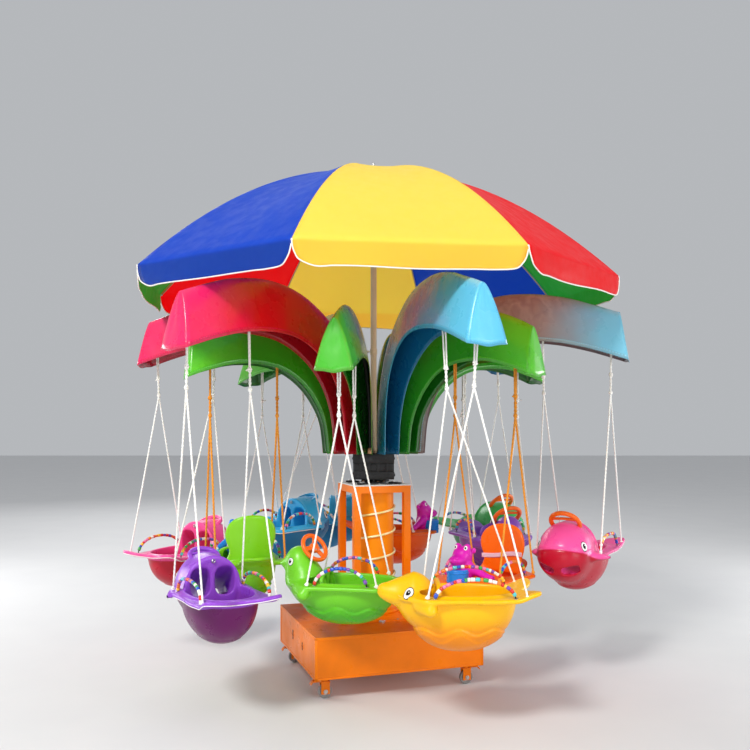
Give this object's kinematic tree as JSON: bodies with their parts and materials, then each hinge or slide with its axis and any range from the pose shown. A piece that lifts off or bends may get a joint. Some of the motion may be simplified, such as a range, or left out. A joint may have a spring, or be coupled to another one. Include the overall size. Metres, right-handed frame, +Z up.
{
  "type": "chair swing ride",
  "caption": "Canopy-topped chair swing ride for small children: a motor-turned hub spreads curved arms under petals and each hangs a moulded seat on ropes.",
  "frame": {"origin": "on the turning axis at ground level", "axes": "+Z up the turning axis; -Y towards the viewer of the picture; +X to that viewer's right"},
  "size_m": [2.9854, 2.7898, 2.99],
  "materials": {
    "orange_paint": "gloss",
    "hub_black": "satin",
    "mast_cream": "satin",
    "bearing_steel": "brushed",
    "hose_clear": "gloss",
    "petal_red": "glossy coated cloth",
    "petal_blue": "glossy coated cloth",
    "petal_green": "glossy coated cloth",
    "canopy_cloth": "matt woven cloth in yellow, blue, green and red panels",
    "rope_white": "braided",
    "rope_orange": "braided",
    "caster_grey": "matt",
    "seat_bird": "glossy moulded plastic",
    "seat_dolphin": "glossy moulded plastic",
    "seat_chair": "glossy moulded plastic",
    "seat_pink": "glossy moulded plastic",
    "seat_pelican": "glossy moulded plastic",
    "seat_greenwhale": "glossy moulded plastic",
    "seat_teal": "glossy moulded plastic",
    "seat_violet": "glossy moulded plastic",
    "seat_limechair": "glossy moulded plastic"
  },
  "bodies": {
    "base": {"cabinet": "orange_paint", "tower_frame": "orange_paint", "bearing_plate": "bearing_steel", "drive_drum": "orange_paint", "light_hose": "hose_clear"},
    "rotor": {"arm_frame": "hub_black", "mast": "mast_cream", "canopy": "canopy_cloth", "petal_01": "petal_green", "petal_02": "petal_blue", "petal_03": "petal_green", "petal_04": "petal_blue", "petal_05": "petal_green", "petal_06": "petal_blue", "petal_07": "petal_green", "petal_08": "petal_blue", "petal_09": "petal_green", "petal_10": "petal_red", "petal_11": "petal_green", "petal_12": "petal_red"},
    "outer_ropes_01": {"outer_ropes_01": "rope_white"},
    "seat_01": {"seat_01": "seat_bird"},
    "inner_ropes_01": {"inner_ropes_01": "rope_white"},
    "outer_ropes_02": {"outer_ropes_02": "rope_white"},
    "seat_02": {"seat_02": "seat_dolphin"},
    "inner_ropes_02": {"inner_ropes_02": "rope_white"},
    "outer_ropes_03": {"outer_ropes_03": "rope_orange"},
    "seat_03": {"seat_03": "seat_chair"},
    "inner_ropes_03": {"inner_ropes_03": "rope_orange"},
    "outer_ropes_04": {"outer_ropes_04": "rope_white"},
    "seat_04": {"seat_04": "seat_pink"},
    "inner_ropes_04": {"inner_ropes_04": "rope_white"},
    "outer_ropes_05": {"outer_ropes_05": "rope_white"},
    "seat_05": {"seat_05": "seat_pelican"},
    "inner_ropes_05": {"inner_ropes_05": "rope_white"},
    "outer_ropes_06": {"outer_ropes_06": "rope_white"},
    "seat_06": {"seat_06": "seat_greenwhale"},
    "inner_ropes_06": {"inner_ropes_06": "rope_white"},
    "outer_ropes_07": {"outer_ropes_07": "rope_white"},
    "seat_07": {"seat_07": "seat_chair"},
    "inner_ropes_07": {"inner_ropes_07": "rope_white"},
    "outer_ropes_08": {"outer_ropes_08": "rope_white"},
    "seat_08": {"seat_08": "seat_teal"},
    "inner_ropes_08": {"inner_ropes_08": "rope_white"},
    "outer_ropes_09": {"outer_ropes_09": "rope_white"},
    "seat_09": {"seat_09": "seat_teal"},
    "inner_ropes_09": {"inner_ropes_09": "rope_white"},
    "outer_ropes_10": {"outer_ropes_10": "rope_white"},
    "seat_10": {"seat_10": "seat_pink"},
    "inner_ropes_10": {"inner_ropes_10": "rope_white"},
    "outer_ropes_11": {"outer_ropes_11": "rope_orange"},
    "seat_11": {"seat_11": "seat_limechair"},
    "inner_ropes_11": {"inner_ropes_11": "rope_orange"},
    "outer_ropes_12": {"outer_ropes_12": "rope_white"},
    "seat_12": {"seat_12": "seat_violet"},
    "inner_ropes_12": {"inner_ropes_12": "rope_white"},
    "caster_wheel_1": {"caster_wheel_1": "caster_grey"},
    "caster_wheel_2": {"caster_wheel_2": "caster_grey"},
    "caster_wheel_3": {"caster_wheel_3": "caster_grey"},
    "caster_wheel_4": {"caster_wheel_4": "caster_grey"}
  },
  "joints": [
    {"name": "rotor_spin", "type": "hinge", "parent": "base", "child": "rotor", "pos_m": [0, 0, 1.1], "axis": [0, 0, 1], "continuous": true},
    {"name": "swing_01", "type": "hinge", "parent": "rotor", "child": "outer_ropes_01", "pos_m": [-0.16757, -0.95034, 1.9], "axis": [-0.9848, 0.1736, 0], "range_deg": [-3, 15]},
    {"name": "seat_level_01", "type": "hinge", "parent": "outer_ropes_01", "child": "seat_01", "pos_m": [-0.16757, -0.95034, 0.665], "axis": [-0.9848, 0.1736, 0], "range_deg": [-15, 3]},
    {"name": "inner_swing_01", "type": "hinge", "parent": "rotor", "child": "inner_ropes_01", "pos_m": [-0.10158, -0.57611, 1.9], "axis": [-0.9848, 0.1736, 0], "range_deg": [-3, 15]},
    {"name": "swing_02", "type": "hinge", "parent": "rotor", "child": "outer_ropes_02", "pos_m": [0.46739, -1.28414, 2.03], "axis": [-1, 0, 0], "range_deg": [-3, 15]},
    {"name": "seat_level_02", "type": "hinge", "parent": "outer_ropes_02", "child": "seat_02", "pos_m": [0.40187, -1.28414, 0.675], "axis": [-1, 0, 0], "range_deg": [-15, 3]},
    {"name": "inner_swing_02", "type": "hinge", "parent": "rotor", "child": "inner_ropes_02", "pos_m": [0.33636, -0.92414, 2.03], "axis": [-1, 0, 0], "range_deg": [-3, 15]},
    {"name": "swing_03", "type": "hinge", "parent": "rotor", "child": "outer_ropes_03", "pos_m": [0.73923, -0.62029, 1.9], "axis": [-0.6428, -0.766, 0], "range_deg": [-3, 15]},
    {"name": "seat_level_03", "type": "hinge", "parent": "outer_ropes_03", "child": "seat_03", "pos_m": [0.73923, -0.62029, 0.645], "axis": [-0.6428, -0.766, 0], "range_deg": [-15, 3]},
    {"name": "inner_swing_03", "type": "hinge", "parent": "rotor", "child": "inner_ropes_03", "pos_m": [0.44814, -0.37603, 1.9], "axis": [-0.6428, -0.766, 0], "range_deg": [-3, 15]},
    {"name": "swing_04", "type": "hinge", "parent": "rotor", "child": "outer_ropes_04", "pos_m": [1.34579, -0.2373, 2.03], "axis": [-0.5, -0.866, 0], "range_deg": [-3, 15]},
    {"name": "seat_level_04", "type": "hinge", "parent": "outer_ropes_04", "child": "seat_04", "pos_m": [1.31303, -0.29404, 0.745], "axis": [-0.5, -0.866, 0], "range_deg": [-15, 3]},
    {"name": "inner_swing_04", "type": "hinge", "parent": "rotor", "child": "inner_ropes_04", "pos_m": [0.96851, -0.17077, 2.03], "axis": [-0.5, -0.866, 0], "range_deg": [-3, 15]},
    {"name": "swing_05", "type": "hinge", "parent": "rotor", "child": "outer_ropes_05", "pos_m": [0.9068, 0.33005, 1.9], "axis": [0.342, -0.9397, 0], "range_deg": [-3, 15]},
    {"name": "seat_level_05", "type": "hinge", "parent": "outer_ropes_05", "child": "seat_05", "pos_m": [0.9068, 0.33005, 0.77], "axis": [0.342, -0.9397, 0], "range_deg": [-15, 3]},
    {"name": "inner_swing_05", "type": "hinge", "parent": "rotor", "child": "inner_ropes_05", "pos_m": [0.54972, 0.20008, 1.9], "axis": [0.342, -0.9397, 0], "range_deg": [-3, 15]},
    {"name": "swing_06", "type": "hinge", "parent": "rotor", "child": "outer_ropes_06", "pos_m": [0.8784, 1.04684, 2.03], "axis": [0.5, -0.866, 0], "range_deg": [-3, 15]},
    {"name": "seat_level_06", "type": "hinge", "parent": "outer_ropes_06", "child": "seat_06", "pos_m": [0.91116, 0.9901, 0.745], "axis": [0.5, -0.866, 0], "range_deg": [-15, 3]},
    {"name": "inner_swing_06", "type": "hinge", "parent": "rotor", "child": "inner_ropes_06", "pos_m": [0.63215, 0.75336, 2.03], "axis": [0.5, -0.866, 0], "range_deg": [-3, 15]},
    {"name": "swing_07", "type": "hinge", "parent": "rotor", "child": "outer_ropes_07", "pos_m": [0.16757, 0.95034, 1.9], "axis": [0.9848, -0.1736, 0], "range_deg": [-3, 15]},
    {"name": "seat_level_07", "type": "hinge", "parent": "outer_ropes_07", "child": "seat_07", "pos_m": [0.16757, 0.95034, 0.735], "axis": [0.9848, -0.1736, 0], "range_deg": [-15, 3]},
    {"name": "inner_swing_07", "type": "hinge", "parent": "rotor", "child": "inner_ropes_07", "pos_m": [0.10158, 0.57611, 1.9], "axis": [0.9848, -0.1736, 0], "range_deg": [-3, 15]},
    {"name": "swing_08", "type": "hinge", "parent": "rotor", "child": "outer_ropes_08", "pos_m": [-0.46739, 1.28414, 2.03], "axis": [1, 0, 0], "range_deg": [-3, 15]},
    {"name": "seat_level_08", "type": "hinge", "parent": "outer_ropes_08", "child": "seat_08", "pos_m": [-0.40187, 1.28414, 0.765], "axis": [1, 0, 0], "range_deg": [-15, 3]},
    {"name": "inner_swing_08", "type": "hinge", "parent": "rotor", "child": "inner_ropes_08", "pos_m": [-0.33636, 0.92414, 2.03], "axis": [1, 0, 0], "range_deg": [-3, 15]},
    {"name": "swing_09", "type": "hinge", "parent": "rotor", "child": "outer_ropes_09", "pos_m": [-0.73923, 0.62029, 1.9], "axis": [0.6428, 0.766, 0], "range_deg": [-3, 15]},
    {"name": "seat_level_09", "type": "hinge", "parent": "outer_ropes_09", "child": "seat_09", "pos_m": [-0.73923, 0.62029, 0.79], "axis": [0.6428, 0.766, 0], "range_deg": [-15, 3]},
    {"name": "inner_swing_09", "type": "hinge", "parent": "rotor", "child": "inner_ropes_09", "pos_m": [-0.44814, 0.37603, 1.9], "axis": [0.6428, 0.766, 0], "range_deg": [-3, 15]},
    {"name": "swing_10", "type": "hinge", "parent": "rotor", "child": "outer_ropes_10", "pos_m": [-1.34579, 0.2373, 2.03], "axis": [0.5, 0.866, 0], "range_deg": [-3, 15]},
    {"name": "seat_level_10", "type": "hinge", "parent": "outer_ropes_10", "child": "seat_10", "pos_m": [-1.31303, 0.29404, 0.67], "axis": [0.5, 0.866, 0], "range_deg": [-15, 3]},
    {"name": "inner_swing_10", "type": "hinge", "parent": "rotor", "child": "inner_ropes_10", "pos_m": [-0.96851, 0.17077, 2.03], "axis": [0.5, 0.866, 0], "range_deg": [-3, 15]},
    {"name": "swing_11", "type": "hinge", "parent": "rotor", "child": "outer_ropes_11", "pos_m": [-0.9068, -0.33005, 1.9], "axis": [-0.342, 0.9397, 0], "range_deg": [-3, 15]},
    {"name": "seat_level_11", "type": "hinge", "parent": "outer_ropes_11", "child": "seat_11", "pos_m": [-0.9068, -0.33005, 0.705], "axis": [-0.342, 0.9397, 0], "range_deg": [-15, 3]},
    {"name": "inner_swing_11", "type": "hinge", "parent": "rotor", "child": "inner_ropes_11", "pos_m": [-0.54972, -0.20008, 1.9], "axis": [-0.342, 0.9397, 0], "range_deg": [-3, 15]},
    {"name": "swing_12", "type": "hinge", "parent": "rotor", "child": "outer_ropes_12", "pos_m": [-0.8784, -1.04684, 2.03], "axis": [-0.5, 0.866, 0], "range_deg": [-3, 15]},
    {"name": "seat_level_12", "type": "hinge", "parent": "outer_ropes_12", "child": "seat_12", "pos_m": [-0.91116, -0.9901, 0.63], "axis": [-0.5, 0.866, 0], "range_deg": [-15, 3]},
    {"name": "inner_swing_12", "type": "hinge", "parent": "rotor", "child": "inner_ropes_12", "pos_m": [-0.63215, -0.75336, 2.03], "axis": [-0.5, 0.866, 0], "range_deg": [-3, 15]},
    {"name": "caster_wheel_1_roll", "type": "hinge", "parent": "base", "child": "caster_wheel_1", "pos_m": [-0.2576, -0.56632, 0.038], "axis": [-0.309, 0.9511, 0], "continuous": true},
    {"name": "caster_wheel_2_roll", "type": "hinge", "parent": "base", "child": "caster_wheel_2", "pos_m": [0.51275, -0.31602, 0.038], "axis": [-0.309, 0.9511, 0], "continuous": true},
    {"name": "caster_wheel_3_roll", "type": "hinge", "parent": "base", "child": "caster_wheel_3", "pos_m": [0.29335, 0.35923, 0.038], "axis": [-0.309, 0.9511, 0], "continuous": true},
    {"name": "caster_wheel_4_roll", "type": "hinge", "parent": "base", "child": "caster_wheel_4", "pos_m": [-0.47701, 0.10893, 0.038], "axis": [-0.309, 0.9511, 0], "continuous": true}
  ],
  "couplings": [
    {"joint": "swing_01", "follows": "swing_02", "ratio": 1},
    {"joint": "seat_level_01", "follows": "swing_02", "ratio": -1},
    {"joint": "inner_swing_01", "follows": "swing_02", "ratio": 1},
    {"joint": "seat_level_02", "follows": "swing_02", "ratio": -1},
    {"joint": "inner_swing_02", "follows": "swing_02", "ratio": 1},
    {"joint": "swing_03", "follows": "swing_02", "ratio": 1},
    {"joint": "seat_level_03", "follows": "swing_02", "ratio": -1},
    {"joint": "inner_swing_03", "follows": "swing_02", "ratio": 1},
    {"joint": "swing_04", "follows": "swing_02", "ratio": 1},
    {"joint": "seat_level_04", "follows": "swing_02", "ratio": -1},
    {"joint": "inner_swing_04", "follows": "swing_02", "ratio": 1},
    {"joint": "swing_05", "follows": "swing_02", "ratio": 1},
    {"joint": "seat_level_05", "follows": "swing_02", "ratio": -1},
    {"joint": "inner_swing_05", "follows": "swing_02", "ratio": 1},
    {"joint": "swing_06", "follows": "swing_02", "ratio": 1},
    {"joint": "seat_level_06", "follows": "swing_02", "ratio": -1},
    {"joint": "inner_swing_06", "follows": "swing_02", "ratio": 1},
    {"joint": "swing_07", "follows": "swing_02", "ratio": 1},
    {"joint": "seat_level_07", "follows": "swing_02", "ratio": -1},
    {"joint": "inner_swing_07", "follows": "swing_02", "ratio": 1},
    {"joint": "swing_08", "follows": "swing_02", "ratio": 1},
    {"joint": "seat_level_08", "follows": "swing_02", "ratio": -1},
    {"joint": "inner_swing_08", "follows": "swing_02", "ratio": 1},
    {"joint": "swing_09", "follows": "swing_02", "ratio": 1},
    {"joint": "seat_level_09", "follows": "swing_02", "ratio": -1},
    {"joint": "inner_swing_09", "follows": "swing_02", "ratio": 1},
    {"joint": "swing_10", "follows": "swing_02", "ratio": 1},
    {"joint": "seat_level_10", "follows": "swing_02", "ratio": -1},
    {"joint": "inner_swing_10", "follows": "swing_02", "ratio": 1},
    {"joint": "swing_11", "follows": "swing_02", "ratio": 1},
    {"joint": "seat_level_11", "follows": "swing_02", "ratio": -1},
    {"joint": "inner_swing_11", "follows": "swing_02", "ratio": 1},
    {"joint": "swing_12", "follows": "swing_02", "ratio": 1},
    {"joint": "seat_level_12", "follows": "swing_02", "ratio": -1},
    {"joint": "inner_swing_12", "follows": "swing_02", "ratio": 1}
  ]
}
